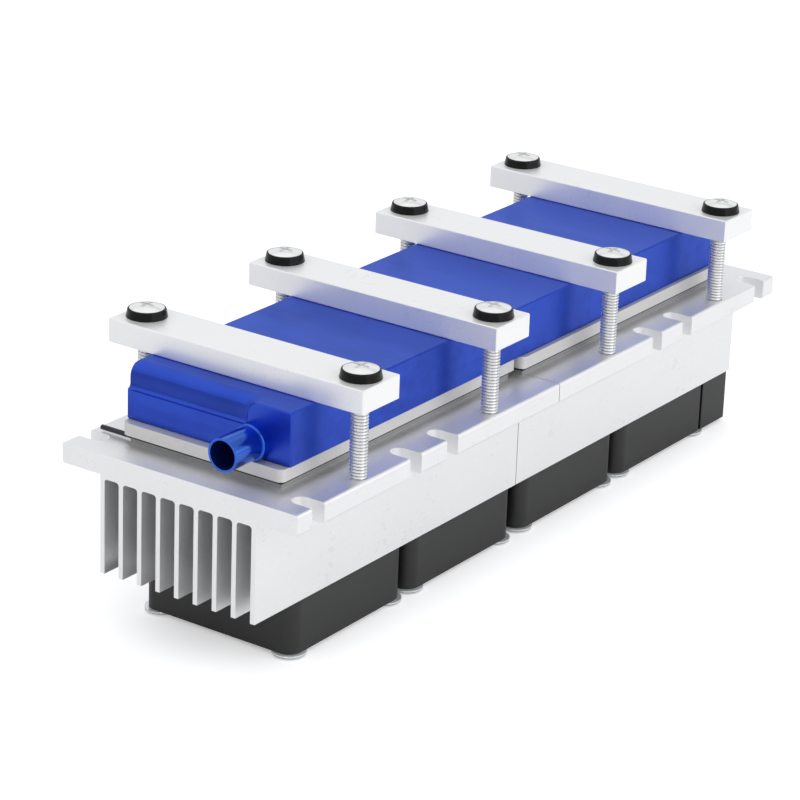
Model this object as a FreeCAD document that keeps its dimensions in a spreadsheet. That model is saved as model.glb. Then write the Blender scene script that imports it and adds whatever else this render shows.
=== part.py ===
"""Thermoelectric cooling module: four fans, two finned heat sinks, eight cooling modules, a water block.

Frame: +Z up, +X along the module from the inlet end to the outlet end, origin on the surface that the
module stands on, below the middle of its footprint. The two heat sinks meet at X = 0. Millimetres.
"""
import FreeCAD, Part
import os
import Sketcher
from FreeCAD import Rotation, Vector

# Driving dimensions, in millimetres and degrees, one cell each: name, value, meaning
DIMENSIONS = (
    ("sink_seam", 0.5, "gap between the two extrusions"),
    ("sink_height", 53.9, "flange top to fin tips"),
    ("flange_thickness", 9.3, "thickness of the flange beside the fins"),
    ("flange_edge_radius", 1.2, "rounding of the flange's long edges"),
    ("base_thickness", 10.8, "flange top to fin roots"),
    ("fin_count", 9, "fins on one extrusion"),
    ("fin_span", 81.8, "outer face to outer face of the outermost fins"),
    ("fin_thickness", 2.3, "thickness of one fin"),
    ("fin_root_radius", 1.5, "radius in the corners between fins"),
    ("notch_width", 8.4, "width of the open slots in the flange edges"),
    ("notch_depth", 12.7, "edge of the flange to the slot's round end"),
    ("notch_1_x", 83.7, "seam to the first slot"),
    ("notch_2_x", 110.7, "seam to the second slot"),
    ("notch_3_inset", 13.85, "outer end of the extrusion to the third slot"),
    ("fan_size", 80.0, "side of one square fan"),
    ("fan_depth", 25.0, "depth of one fan"),
    ("fan_corner_radius", 6.0, "rounding of the fan's upright corners"),
    ("fan_rim", 2.0, "least wall between the air duct and the fan's sides"),
    ("fan_mouth_flare", 1.2, "widening of the duct at both faces"),
    ("fan_hole_inset", 5.75, "distance of a screw hole from the fan's sides"),
    ("fan_hole_diameter", 4.4, "screw hole in a fan corner"),
    ("fan_gap", 5.0, "gap between the two fans under one heat sink"),
    ("near_fan_offset", 0.5, "seam to the nearest fan on the inlet side"),
    ("far_fan_offset", 6.5, "seam to the nearest fan on the outlet side"),
    ("strut_count", 4, "struts that carry the motor base"),
    ("strut_width", 4.0, "width of a strut"),
    ("strut_depth", 2.5, "depth of a strut"),
    ("motor_base_diameter", 35.0, "round plate behind the motor"),
    ("motor_base_thickness", 2.0, "thickness of that plate"),
    ("bearing_tube_diameter", 9.0, "outside of the tube on the motor base"),
    ("bearing_tube_length", 17.0, "length of the tube from the fan's outlet face"),
    ("bearing_diameter", 6.0, "outside of the sleeve bearing"),
    ("bearing_length", 12.0, "length of the sleeve bearing"),
    ("shaft_diameter", 3.0, "rotor shaft"),
    ("running_clearance", 0.05, "radial clearance where the shaft turns"),
    ("seat_clearance", 0.02, "radial clearance where a round piece is seated"),
    ("motor_end_gap", 0.5, "end play of shaft, bearing and magnet ring"),
    ("hub_diameter", 34.0, "outside of the rotor's hub"),
    ("hub_height", 19.5, "height of the hub"),
    ("hub_inset", 2.0, "fan's inlet face to the hub's face"),
    ("hub_floor", 1.8, "thickness of the hub's face"),
    ("hub_wall", 1.5, "thickness of the hub's wall"),
    ("hub_edge_radius", 2.0, "rounding of the hub's face edge"),
    ("boss_diameter", 7.0, "boss that holds the shaft in the hub"),
    ("boss_height", 3.6, "height of that boss"),
    ("blade_count", 7, "blades on one rotor"),
    ("blade_thickness", 1.3, "thickness of a blade"),
    ("blade_middle", 12.0, "fan's inlet face to the middle of the blades"),
    ("blade_tip_clearance", 0.8, "blade tip to the duct"),
    ("blade_root_chord", 19.0, "length of a blade's section at the hub"),
    ("blade_tip_chord", 29.0, "length of a blade's section at the tip"),
    ("blade_root_angle", 50.0, "pitch of the section at the hub"),
    ("blade_tip_angle", 30.0, "pitch of the section at the tip"),
    ("blade_curve_radius", 32.0, "radius to which the blades are cambered"),
    ("magnet_thickness", 1.3, "wall of the rotor's magnet ring"),
    ("magnet_length", 10.0, "length of the magnet ring"),
    ("air_gap", 0.4, "magnet ring to stator"),
    ("stator_length", 8.0, "length of the stator"),
    ("stator_yoke", 3.0, "ring of the stator between its bore and its slots"),
    ("stator_slot", 4.0, "width of a slot between two poles"),
    ("pole_count", 4, "poles of the stator"),
    ("fan_screw_diameter", 4.0, "long screw through fan and fins"),
    ("fan_screw_engagement", 7.0, "depth of that screw in the heat sink's base"),
    ("fan_head_diameter", 14.6, "head of the fan screw"),
    ("fan_head_height", 1.2, "height of that head"),
    ("fan_head_rim", 0.4, "height of the head's rim"),
    ("fan_head_flat", 8.0, "flat that the module stands on, on each head"),
    ("fan_head_crown_radius", 7.5, "rounding between that flat and the rim"),
    ("fan_washer_diameter", 15.0, "flat washer between that head and the fan"),
    ("fan_washer_thickness", 0.8, "thickness of that washer"),
    ("cover_clearance", 0.3, "last fan to the wiring cover"),
    ("cover_length", 21.25, "last fan to the far end of the wiring cover"),
    ("cover_lap_angle", 54.0, "how far the cover's ears reach round the fan's corners"),
    ("cover_wall", 2.0, "wall of the wiring cover"),
    ("cover_corner_radius", 1.5, "rounding of the wiring cover's far corners"),
    ("module_side", 30.0, "side of one square cooling module"),
    ("module_height", 3.8, "height of one cooling module"),
    ("ceramic_thickness", 0.8, "thickness of each of its ceramic faces"),
    ("pellet_inset", 1.0, "edge of the ceramic to the row of pellets"),
    ("module_pitch", 33.0, "distance between the two modules under one bar"),
    ("plate_length", 172.0, "length of one cold plate"),
    ("plate_width", 84.0, "width of one cold plate"),
    ("plate_thickness", 5.6, "thickness of one cold plate"),
    ("plate_corner_radius", 3.0, "rounding of its upright corners"),
    ("plate_gap", 1.0, "gap between the two plates"),
    ("plate_joint_x", -5.0, "middle of that gap"),
    ("near_plate_y", 0.2, "middle of the plate on the inlet side"),
    ("far_plate_y", -2.8, "middle of the plate on the outlet side"),
    ("seal_side_inset", 2.4, "long edge of the plate to the seal"),
    ("seal_end_inset", 3.0, "short edge of the plate to the seal"),
    ("seal_window_clearance", 0.4, "module to the edge of its window in the seal"),
    ("lead_diameter", 2.2, "module lead"),
    ("lead_inset", 1.5, "end of the seal to the lead"),
    ("lead_socket", 6.0, "length of the lead inside the seal"),
    ("lead_reach", 14.5, "length of the lead beyond the plate"),
    ("block_length", 343.8, "length of the water block"),
    ("block_width", 86.0, "width of the water block"),
    ("block_height", 24.0, "height of the water block"),
    ("block_x", -1.4, "middle of the water block"),
    ("block_chamfer", 0.6, "bevel along the water block's edges"),
    ("nose_recess", 2.3, "depth of the milled end face behind the end of the block"),
    ("nose_edge_radius", 6.0, "rounding of the milled end face's top edge"),
    ("nose_cutter_overhang", 0.9, "end of the block to the cutter's axis"),
    ("nose_stop_y", -17.6, "where the cutter stops"),
    ("ridge_height", 13.0, "bottom of the block to the top of the ridge below the milled face"),
    ("channel_diameter", 13.0, "water channels in the block"),
    ("channel_end_wall", 12.0, "end of a channel to the far end of the block"),
    ("cross_channel_diameter", 10.0, "channels between inlet and outlet"),
    ("cross_channel_count", 3, "number of those channels"),
    ("cross_channel_pitch", 120.0, "distance between them"),
    ("pipe_offset", 24.4, "middle of the block to a pipe's axis"),
    ("pipe_height", 7.5, "bottom of the block to a pipe's axis"),
    ("pipe_diameter", 14.6, "outside of a hose pipe"),
    ("pipe_wall", 1.0, "wall of a hose pipe"),
    ("pipe_reach", 21.1, "end of the block to the inlet pipe's mouth"),
    ("pipe_spigot_diameter", 14.0, "part of a pipe that is pressed into the block"),
    ("pipe_socket", 10.0, "length of the pipe inside the block"),
    ("collar_diameter", 16.4, "collar at the foot of a pipe"),
    ("collar_length", 4.4, "length of that collar"),
    ("collar_edge_radius", 1.0, "rounding of the collar"),
    ("collar_lift", 0.1, "flat under the collar to the cold plate"),
    ("bar_width", 25.6, "clamp bar along the module"),
    ("bar_length", 133.0, "clamp bar across the module"),
    ("bar_overhang", 5.0, "edge of the flange to the end of a clamp bar"),
    ("bar_thickness", 10.7, "thickness of a clamp bar"),
    ("bar_chamfer", 0.4, "bevel along a clamp bar's edges"),
    ("bar_inner_x", 48.2, "seam to the inner clamp bars"),
    ("bar_outer_x", 144.6, "seam to the outer clamp bars"),
    ("bar_hole_diameter", 8.8, "hole for a clamp screw"),
    ("clamp_screw_inset", 10.5, "end of a clamp bar to a clamp screw"),
    ("clamp_screw_diameter", 7.8, "shank of a clamp screw"),
    ("clamp_tip_inset", 0.3, "tip of a clamp screw to the flange's underside"),
    ("clamp_tip_chamfer", 0.9, "bevel at the tip"),
    ("clamp_head_diameter", 15.1, "head of a clamp screw"),
    ("clamp_head_rim", 0.9, "height of the head's rim"),
    ("clamp_head_dome", 1.5, "rise of the head above its rim"),
    ("clamp_head_recess", 0.8, "depth to which the head sits in its washer"),
    ("cross_span", 7.4, "length of the cross recess in a screw head"),
    ("cross_width", 1.7, "width of the cross recess"),
    ("cross_depth", 1.4, "depth of the cross recess in a clamp screw"),
    ("fan_cross_depth", 0.8, "depth of the cross recess in a fan screw"),
    ("washer_base_diameter", 18.0, "cup washer at its foot"),
    ("washer_top_diameter", 16.8, "cup washer at its top"),
    ("washer_height", 3.7, "height of the cup washer"),
    ("washer_edge_radius", 0.7, "rounding of the cup washer's top edge"),
    ("washer_bore", 8.4, "hole in the cup washer"),
    ("washer_seat_clearance", 0.1, "screw head to the wall of the cup"),
)

# How far a cutting outline runs past the face that it opens
PAST = "1"

document = FreeCAD.newDocument("cooling_module")
sheet = document.addObject("Spreadsheet::Sheet", "sizes")
for row, (alias, number, meaning) in enumerate(DIMENSIONS, start=1):
    sheet.set(f"A{row}", meaning)
    sheet.set(f"B{row}", str(number))
    sheet.setAlias(f"B{row}", alias)
document.recompute()

# Levels above the surface that the module stands on
FAN_BOTTOM = "(sizes.fan_head_height + sizes.fan_washer_thickness)"
FAN_TOP = f"({FAN_BOTTOM} + sizes.fan_depth)"
SINK_TOP = f"({FAN_TOP} + sizes.sink_height)"
PLATE_BOTTOM = f"({SINK_TOP} + sizes.module_height)"
BLOCK_BOTTOM = f"({PLATE_BOTTOM} + sizes.plate_thickness)"
BAR_BOTTOM = f"({BLOCK_BOTTOM} + sizes.block_height)"
BAR_TOP = f"({BAR_BOTTOM} + sizes.bar_thickness)"

# Places along the module
FAN_X = (
    "(-sizes.near_fan_offset - sizes.fan_gap - 1.5 * sizes.fan_size)",
    "(-sizes.near_fan_offset - 0.5 * sizes.fan_size)",
    "(sizes.far_fan_offset + 0.5 * sizes.fan_size)",
    "(sizes.far_fan_offset + sizes.fan_gap + 1.5 * sizes.fan_size)",
)
BAR_X = ("(-sizes.bar_outer_x)", "(-sizes.bar_inner_x)", "sizes.bar_inner_x", "sizes.bar_outer_x")
PLATE_X = {
    "near": "(sizes.plate_joint_x - 0.5 * sizes.plate_gap - 0.5 * sizes.plate_length)",
    "far": "(sizes.plate_joint_x + 0.5 * sizes.plate_gap + 0.5 * sizes.plate_length)",
}
PLATE_Y = {"near": "sizes.near_plate_y", "far": "sizes.far_plate_y"}

# Lengths that follow from what they carry
FAN_ROW = "(sizes.far_fan_offset + 2 * sizes.fan_size + sizes.fan_gap)"
SINK_LENGTH = f"({FAN_ROW} + sizes.cover_length - 0.5 * sizes.sink_seam)"
FLANGE_WIDTH = "(sizes.bar_length - 2 * sizes.bar_overhang)"
CLAMP_SCREW_Y = "(0.5 * sizes.bar_length - sizes.clamp_screw_inset)"
FAN_HOLE = "(0.5 * sizes.fan_size - sizes.fan_hole_inset)"

# The four corners of a fan, as signs along X and Y
CORNERS = ((1, 1), (-1, 1), (-1, -1), (1, -1))

subparts = []


def value(expression):
    """Number that an expression of the sheet gives now."""
    return float(sheet.evalExpression(expression))


def new_body(name, x="0", y="0", z="0", turn=0):
    """Body of one sub-part, placed by expressions and turned about the upright axis."""
    body = document.addObject("PartDesign::Body", name)
    body.Label = name
    body.Placement.Rotation = Rotation(Vector(0, 0, 1), turn)
    body.setExpression("Placement.Base.x", x)
    body.setExpression("Placement.Base.y", y)
    body.setExpression("Placement.Base.z", z)
    subparts.append(body)
    return body


def origin_feature(body, role):
    """Origin plane or axis of a body."""
    return next(item for item in body.Origin.OriginFeatures if item.Role == role)


def new_sketch(body, name, plane="XY_Plane", offset="0", across="0", along="0"):
    """Sketch on an origin plane, lifted by offset and shifted in its own plane."""
    sketch = body.newObject("Sketcher::SketchObject", f"{body.Name}_{name}")
    sketch.AttachmentSupport = [(origin_feature(body, plane), "")]
    sketch.MapMode = "FlatFace"
    sketch.setExpression("AttachmentOffset.Base.x", across)
    sketch.setExpression("AttachmentOffset.Base.y", along)
    sketch.setExpression("AttachmentOffset.Base.z", offset)
    return sketch


def fix_point(sketch, edge, end, x, y):
    """Bind one point of the sketch to a pair of expressions."""
    for kind, expression in (("DistanceX", x), ("DistanceY", y)):
        constraint = Sketcher.Constraint(kind, -1, 1, edge, end, value(expression))
        index = sketch.addConstraint(constraint)
        sketch.setExpression(f"Constraints[{index}]", expression)


def fix_radius(sketch, edge, radius):
    """Bind the radius of a circle or an arc to an expression."""
    index = sketch.addConstraint(Sketcher.Constraint("Radius", edge, value(radius)))
    sketch.setExpression(f"Constraints[{index}]", radius)


def arc_middle(start, end, radius, turns_left):
    """Middle point of the short arc from start to end."""
    chord = end - start
    half = 0.5 * chord.Length
    side = Vector(-chord.y, chord.x, 0).normalize() * (1 if turns_left else -1)
    rise = max(radius * radius - half * half, 0.0) ** 0.5
    return start + chord * 0.5 + side * (rise - radius)


def outline(sketch, nodes):
    """Closed outline. A node is (x, y), or (x, y, radius, "left" or "right") where an arc leaves it."""
    points = [Vector(value(node[0]), value(node[1]), 0) for node in nodes]
    edges = []
    for index, node in enumerate(nodes):
        start = points[index]
        end = points[(index + 1) % len(points)]
        if len(node) == 2:
            edge = sketch.addGeometry(Part.LineSegment(start, end))
            edges.append((edge, 1, 2))
            continue
        turns_left = node[3] == "left"
        middle = arc_middle(start, end, value(node[2]), turns_left)
        edge = sketch.addGeometry(Part.Arc(start, middle, end))
        fix_radius(sketch, edge, node[2])
        edges.append((edge, 1, 2) if turns_left else (edge, 2, 1))
    for index, node in enumerate(nodes):
        edge, first, last = edges[index]
        previous = edges[index - 1]
        sketch.addConstraint(Sketcher.Constraint("Coincident", previous[0], previous[2], edge, first))
        fix_point(sketch, edge, first, node[0], node[1])


def circle(sketch, x, y, diameter):
    """Circle placed and sized by expressions."""
    radius = f"0.5 * ({diameter})"
    shape = Part.Circle(Vector(value(x), value(y), 0), Vector(0, 0, 1), value(radius))
    edge = sketch.addGeometry(shape)
    fix_point(sketch, edge, 3, x, y)
    fix_radius(sketch, edge, radius)


def rectangle(sketch, length, width, x="0", y="0"):
    """Rectangle about a centre."""
    left, right = f"{x} - 0.5 * ({length})", f"{x} + 0.5 * ({length})"
    low, high = f"{y} - 0.5 * ({width})", f"{y} + 0.5 * ({width})"
    outline(sketch, [(left, low), (right, low), (right, high), (left, high)])


def rounded_rectangle(sketch, length, width, radius):
    """Rectangle about the sketch's origin, with round corners."""
    x, y = f"0.5 * ({length})", f"0.5 * ({width})"
    outline(sketch, [
        (f"-{x} + {radius}", f"-{y}"),
        (f"{x} - {radius}", f"-{y}", radius, "left"),
        (f"{x}", f"-{y} + {radius}"),
        (f"{x}", f"{y} - {radius}", radius, "left"),
        (f"{x} - {radius}", f"{y}"),
        (f"-{x} + {radius}", f"{y}", radius, "left"),
        (f"-{x}", f"{y} - {radius}"),
        (f"-{x}", f"-{y} + {radius}", radius, "left"),
    ])


def new_feature(body, kind, name, sketch):
    """Feature of a body that is made from a sketch."""
    feature = body.newObject(f"PartDesign::{kind}", f"{body.Name}_{name}")
    feature.Profile = sketch
    sketch.Visibility = False
    return feature


def pad(body, name, sketch, length):
    """Add material along the sketch's normal."""
    feature = new_feature(body, "Pad", name, sketch)
    feature.setExpression("Length", length)
    return feature


def pocket(body, name, sketch, length, forward=False):
    """Cut material against the sketch's normal, or along it where forward is set."""
    feature = new_feature(body, "Pocket", name, sketch)
    feature.Reversed = forward
    feature.setExpression("Length", length)
    return feature


def turned(body, kind, name, sketch, axis="V_Axis"):
    """Full turn of a sketch about one of its own axes: a Revolution adds, a Groove cuts."""
    feature = new_feature(body, kind, name, sketch)
    feature.ReferenceAxis = (sketch, [axis])
    feature.Angle = 360
    return feature


def round_pattern(body, name, features, count):
    """Copies of features, evenly round the body's upright axis."""
    pattern = body.newObject("PartDesign::PolarPattern", f"{body.Name}_{name}")
    pattern.Originals = features
    pattern.Axis = (origin_feature(body, "Z_Axis"), [""])
    pattern.Angle = 360
    pattern.setExpression("Occurrences", count)
    body.Tip = pattern
    return pattern


def row_pattern(body, name, features, axis, count, extent):
    """Copies of features in a row along one of the body's axes."""
    pattern = body.newObject("PartDesign::LinearPattern", f"{body.Name}_{name}")
    pattern.Originals = features
    pattern.Direction = (origin_feature(body, axis), [""])
    pattern.setExpression("Length", extent)
    pattern.setExpression("Occurrences", count)
    body.Tip = pattern
    return pattern


def mirror(body, name, features, plane="XZ_Plane"):
    """Mirror image of features about one of the body's planes."""
    mirrored = body.newObject("PartDesign::Mirrored", f"{body.Name}_{name}")
    mirrored.Originals = features
    mirrored.MirrorPlane = (origin_feature(body, plane), [""])
    body.Tip = mirrored
    return mirrored


def bevel_all(body, name, feature, size):
    """Bevel along every edge of a feature."""
    chamfer = body.newObject("PartDesign::Chamfer", f"{body.Name}_{name}")
    chamfer.Base = (feature, [""])
    chamfer.UseAllEdges = True
    chamfer.setExpression("Size", size)
    return chamfer


def cross_outline(sketch):
    """Cross recess about the sketch's origin."""
    far, near = "0.5 * sizes.cross_span", "0.5 * sizes.cross_width"
    outline(sketch, [
        (f"-{near}", f"-{far}"), (near, f"-{far}"), (near, f"-{near}"), (far, f"-{near}"),
        (far, near), (near, near), (near, far), (f"-{near}", far),
        (f"-{near}", near), (f"-{far}", near), (f"-{far}", f"-{near}"), (f"-{near}", f"-{near}"),
    ])


# Heat sinks

FIN_PITCH = "((sizes.fin_span - sizes.fin_thickness) / (sizes.fin_count - 1))"


def sink_profile(body):
    """Flange and fin block, seen along the extrusion."""
    sketch = new_sketch(body, "profile", "YZ_Plane")
    edge, radius = f"0.5 * {FLANGE_WIDTH}", "sizes.flange_edge_radius"
    wall, under = "0.5 * sizes.fin_span", "-sizes.flange_thickness"
    outline(sketch, [
        (f"-{wall}", "-sizes.sink_height"),
        (wall, "-sizes.sink_height"),
        (wall, under),
        (f"{edge} - {radius}", under, radius, "left"),
        (edge, f"{under} + {radius}"),
        (edge, f"-{radius}", radius, "left"),
        (f"{edge} - {radius}", "0"),
        (f"-{edge} + {radius}", "0", radius, "left"),
        (f"-{edge}", f"-{radius}"),
        (f"-{edge}", f"{under} + {radius}", radius, "left"),
        (f"-{edge} + {radius}", under),
        (f"-{wall}", under),
    ])
    return pad(body, "extrusion", sketch, SINK_LENGTH)


def fin_gaps(body):
    """Gaps between the fins, with round corners at the roots."""
    sketch = new_sketch(body, "gap", "YZ_Plane")
    left = "-0.5 * sizes.fin_span + sizes.fin_thickness"
    right = f"-0.5 * sizes.fin_span + {FIN_PITCH}"
    open_end = f"-sizes.sink_height - {PAST}"
    root, radius = "-sizes.base_thickness", "sizes.fin_root_radius"
    outline(sketch, [
        (left, open_end),
        (right, open_end),
        (right, f"{root} - {radius}", radius, "left"),
        (f"{right} - {radius}", root),
        (f"{left} + {radius}", root, radius, "left"),
        (left, f"{root} - {radius}"),
    ])
    gap = pocket(body, "first_gap", sketch, SINK_LENGTH, forward=True)
    row_pattern(body, "gaps", [gap], "Y_Axis", "sizes.fin_count - 1", f"(sizes.fin_count - 2) * {FIN_PITCH}")


def flange_notches(body):
    """Open slots with round ends, the same along both edges of the flange."""
    sketch = new_sketch(body, "notches")
    half = "0.5 * sizes.notch_width"
    outer = f"-0.5 * {FLANGE_WIDTH} - {PAST}"
    centre = f"-0.5 * {FLANGE_WIDTH} + sizes.notch_depth - {half}"
    places = [f"sizes.notch_{number}_x - 0.5 * sizes.sink_seam" for number in (1, 2)]
    for x in (*places, f"{SINK_LENGTH} - sizes.notch_3_inset"):
        outline(sketch, [
            (f"{x} - {half}", outer),
            (f"{x} + {half}", outer),
            (f"{x} + {half}", centre, half, "left"),
            (x, f"{centre} + {half}", half, "left"),
            (f"{x} - {half}", centre),
        ])
    notches = pocket(body, "edge_notches", sketch, "sizes.flange_thickness")
    mirror(body, "both_edges", [notches])


def clamp_screw_holes(body):
    """Tapped holes for the clamp screws, through the flange."""
    sketch = new_sketch(body, "clamp_holes")
    for bar in ("inner", "outer"):
        for side in ("", "-"):
            x = f"sizes.bar_{bar}_x - 0.5 * sizes.sink_seam"
            diameter = "sizes.clamp_screw_diameter + 2 * sizes.seat_clearance"
            circle(sketch, x, f"{side}{CLAMP_SCREW_Y}", diameter)
    pocket(body, "clamp_screw_holes", sketch, "sizes.flange_thickness")


def fan_screw_holes(body, fan_centres):
    """Tapped holes for the fan screws, drilled up between the fins into the base."""
    sketch = new_sketch(body, "fan_holes", offset="-sizes.sink_height")
    for centre in fan_centres:
        for x_side, y_side in CORNERS:
            x = f"{centre} - 0.5 * sizes.sink_seam + {x_side} * {FAN_HOLE}"
            diameter = "sizes.fan_screw_diameter + 2 * sizes.seat_clearance"
            circle(sketch, x, f"{y_side} * {FAN_HOLE}", diameter)
    depth = "sizes.sink_height - sizes.base_thickness + sizes.fan_screw_engagement"
    pocket(body, "fan_screw_holes", sketch, depth, forward=True)


def heat_sink(name, turn, side, fan_centres):
    """One finned extrusion, drawn from its seam end along its own X axis."""
    body = new_body(name, x=f"{side} * 0.5 * sizes.sink_seam", z=SINK_TOP, turn=turn)
    sink_profile(body)
    fin_gaps(body)
    flange_notches(body)
    clamp_screw_holes(body)
    fan_screw_holes(body, fan_centres)


# Fans

DUCT_RADIUS = "(0.5 * sizes.fan_size - sizes.fan_rim)"
MOTOR_BASE_FACE = "(sizes.fan_depth - sizes.motor_base_thickness)"
TUBE_END = "(sizes.fan_depth - sizes.bearing_tube_length)"
HUB_TOP = "(sizes.hub_inset + sizes.hub_height)"
HUB_INSIDE = "(sizes.hub_diameter - 2 * sizes.hub_wall)"
HUB_FLOOR_TOP = "(sizes.hub_inset + sizes.hub_floor)"
MAGNET_OUTSIDE = f"({HUB_INSIDE} - 2 * sizes.seat_clearance)"
MAGNET_INSIDE = f"({MAGNET_OUTSIDE} - 2 * sizes.magnet_thickness)"
STATOR_OUTSIDE = f"({MAGNET_INSIDE} - 2 * sizes.air_gap)"
STATOR_BORE = "(sizes.bearing_tube_diameter + 2 * sizes.seat_clearance)"
STATOR_BOTTOM = f"({HUB_TOP} - sizes.magnet_length)"


def fan_frame(number, x):
    """Square frame with its duct, the struts and the motor base with its bearing tube."""
    body = new_body(f"fan_frame_{number}", x=x, z=FAN_BOTTOM)
    sketch = new_sketch(body, "square")
    rounded_rectangle(sketch, "sizes.fan_size", "sizes.fan_size", "sizes.fan_corner_radius")
    pad(body, "frame", sketch, "sizes.fan_depth")

    sketch = new_sketch(body, "duct", "XZ_Plane")
    flare = "sizes.fan_mouth_flare"
    outline(sketch, [
        ("0", f"-{PAST}"),
        (f"{DUCT_RADIUS} + {flare}", f"-{PAST}"),
        (f"{DUCT_RADIUS} + {flare}", "0"),
        (DUCT_RADIUS, flare),
        (DUCT_RADIUS, f"sizes.fan_depth - {flare}"),
        (f"{DUCT_RADIUS} + {flare}", "sizes.fan_depth"),
        (f"{DUCT_RADIUS} + {flare}", f"sizes.fan_depth + {PAST}"),
        ("0", f"sizes.fan_depth + {PAST}"),
    ])
    turned(body, "Groove", "air_duct", sketch)

    sketch = new_sketch(body, "screw_holes")
    for x_side, y_side in CORNERS:
        circle(sketch, f"{x_side} * {FAN_HOLE}", f"{y_side} * {FAN_HOLE}", "sizes.fan_hole_diameter")
    pocket(body, "corner_holes", sketch, "sizes.fan_depth", forward=True)

    sketch = new_sketch(body, "strut", offset="sizes.fan_depth - sizes.strut_depth")
    reach = f"{DUCT_RADIUS} + {PAST}"
    rectangle(sketch, reach, "sizes.strut_width", x=f"0.5 * ({reach})")
    strut = pad(body, "first_strut", sketch, "sizes.strut_depth")
    round_pattern(body, "struts", [strut], "sizes.strut_count")

    sketch = new_sketch(body, "disc", offset=MOTOR_BASE_FACE)
    circle(sketch, "0", "0", "sizes.motor_base_diameter")
    pad(body, "motor_base", sketch, "sizes.motor_base_thickness")

    sketch = new_sketch(body, "tube", offset=TUBE_END)
    circle(sketch, "0", "0", "sizes.bearing_tube_diameter")
    pad(body, "bearing_tube", sketch, "sizes.bearing_tube_length")

    sketch = new_sketch(body, "seat", offset=TUBE_END)
    circle(sketch, "0", "0", "sizes.bearing_diameter + 2 * sizes.seat_clearance")
    depth = "sizes.bearing_tube_length - sizes.motor_base_thickness"
    pocket(body, "bearing_seat", sketch, depth, forward=True)


def blade_section(body, name, chord, angle, distance):
    """Cambered section of a blade, square to a radius and at a distance from the axis."""
    sketch = new_sketch(body, name, "YZ_Plane", offset=distance, along="sizes.blade_middle")
    half, lift = f"0.5 * {chord}", "0.5 * sizes.blade_thickness"
    along_y, along_z = f"cos({angle})", f"sin({angle})"
    front_low = (f"-{half} * {along_y} + {lift} * {along_z}", f"-{half} * {along_z} - {lift} * {along_y}")
    rear_low = (f"{half} * {along_y} + {lift} * {along_z}", f"{half} * {along_z} - {lift} * {along_y}")
    rear_high = (f"{half} * {along_y} - {lift} * {along_z}", f"{half} * {along_z} + {lift} * {along_y}")
    front_high = (f"-{half} * {along_y} - {lift} * {along_z}", f"-{half} * {along_z} + {lift} * {along_y}")
    outline(sketch, [
        (*front_low, "sizes.blade_curve_radius", "left"),
        rear_low,
        (*rear_high, "sizes.blade_curve_radius", "right"),
        front_high,
    ])
    return sketch


def fan_rotor(number, x):
    """Cup-shaped hub with twisted blades, trimmed to the duct."""
    body = new_body(f"fan_rotor_{number}", x=x, z=FAN_BOTTOM)
    radius, edge = "0.5 * sizes.hub_diameter", "sizes.hub_edge_radius"
    sketch = new_sketch(body, "hub", "XZ_Plane")
    outline(sketch, [
        ("0", "sizes.hub_inset"),
        (f"{radius} - {edge}", "sizes.hub_inset", edge, "left"),
        (radius, f"sizes.hub_inset + {edge}"),
        (radius, HUB_TOP),
        ("0", HUB_TOP),
    ])
    turned(body, "Revolution", "hub_cup", sketch)

    inner = "0.5 * sizes.hub_diameter - 2 * sizes.hub_wall"
    tip = f"{DUCT_RADIUS} - sizes.blade_tip_clearance"
    root = blade_section(body, "root", "sizes.blade_root_chord", "sizes.blade_root_angle", inner)
    end = blade_section(body, "tip", "sizes.blade_tip_chord", "sizes.blade_tip_angle", tip)
    blade = new_feature(body, "AdditiveLoft", "first_blade", root)
    blade.Sections = [end]
    round_pattern(body, "blades", [blade], "sizes.blade_count")

    sketch = new_sketch(body, "trim", "XZ_Plane")
    outline(sketch, [
        (tip, f"-{PAST}"),
        (f"{tip} + 0.5 * sizes.fan_size", f"-{PAST}"),
        (f"{tip} + 0.5 * sizes.fan_size", f"sizes.fan_depth + {PAST}"),
        (tip, f"sizes.fan_depth + {PAST}"),
    ])
    turned(body, "Groove", "trimmed_tips", sketch)

    sketch = new_sketch(body, "inside", offset=HUB_FLOOR_TOP)
    circle(sketch, "0", "0", HUB_INSIDE)
    pocket(body, "hub_inside", sketch, "sizes.hub_height - sizes.hub_floor", forward=True)

    sketch = new_sketch(body, "boss", offset=HUB_FLOOR_TOP)
    circle(sketch, "0", "0", "sizes.boss_diameter")
    pad(body, "shaft_boss", sketch, "sizes.boss_height")

    sketch = new_sketch(body, "bore", offset=HUB_FLOOR_TOP)
    circle(sketch, "0", "0", "sizes.shaft_diameter + 2 * sizes.seat_clearance")
    pocket(body, "shaft_bore", sketch, "sizes.boss_height", forward=True)


def round_piece(name, x, z, outside, inside, length):
    """Plain ring, or a rod where inside is None, standing on its end in a fan."""
    body = new_body(name, x=x, z=f"{FAN_BOTTOM} + {z}")
    sketch = new_sketch(body, "section")
    circle(sketch, "0", "0", outside)
    if inside:
        circle(sketch, "0", "0", inside)
    pad(body, "length", sketch, length)
    return body


def stator(number, x):
    """Core on the bearing tube, with slots between its poles."""
    name = f"fan_stator_{number}"
    body = round_piece(name, x, STATOR_BOTTOM, STATOR_OUTSIDE, STATOR_BORE, "sizes.stator_length")
    sketch = new_sketch(body, "slot")
    start = f"0.5 * {STATOR_BORE} + sizes.stator_yoke"
    length = f"0.5 * {STATOR_OUTSIDE} - ({start}) + {PAST}"
    rectangle(sketch, length, "sizes.stator_slot", x=f"{start} + 0.5 * ({length})")
    slot = pocket(body, "first_slot", sketch, "sizes.stator_length", forward=True)
    round_pattern(body, "slots", [slot], "sizes.pole_count")


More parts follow.
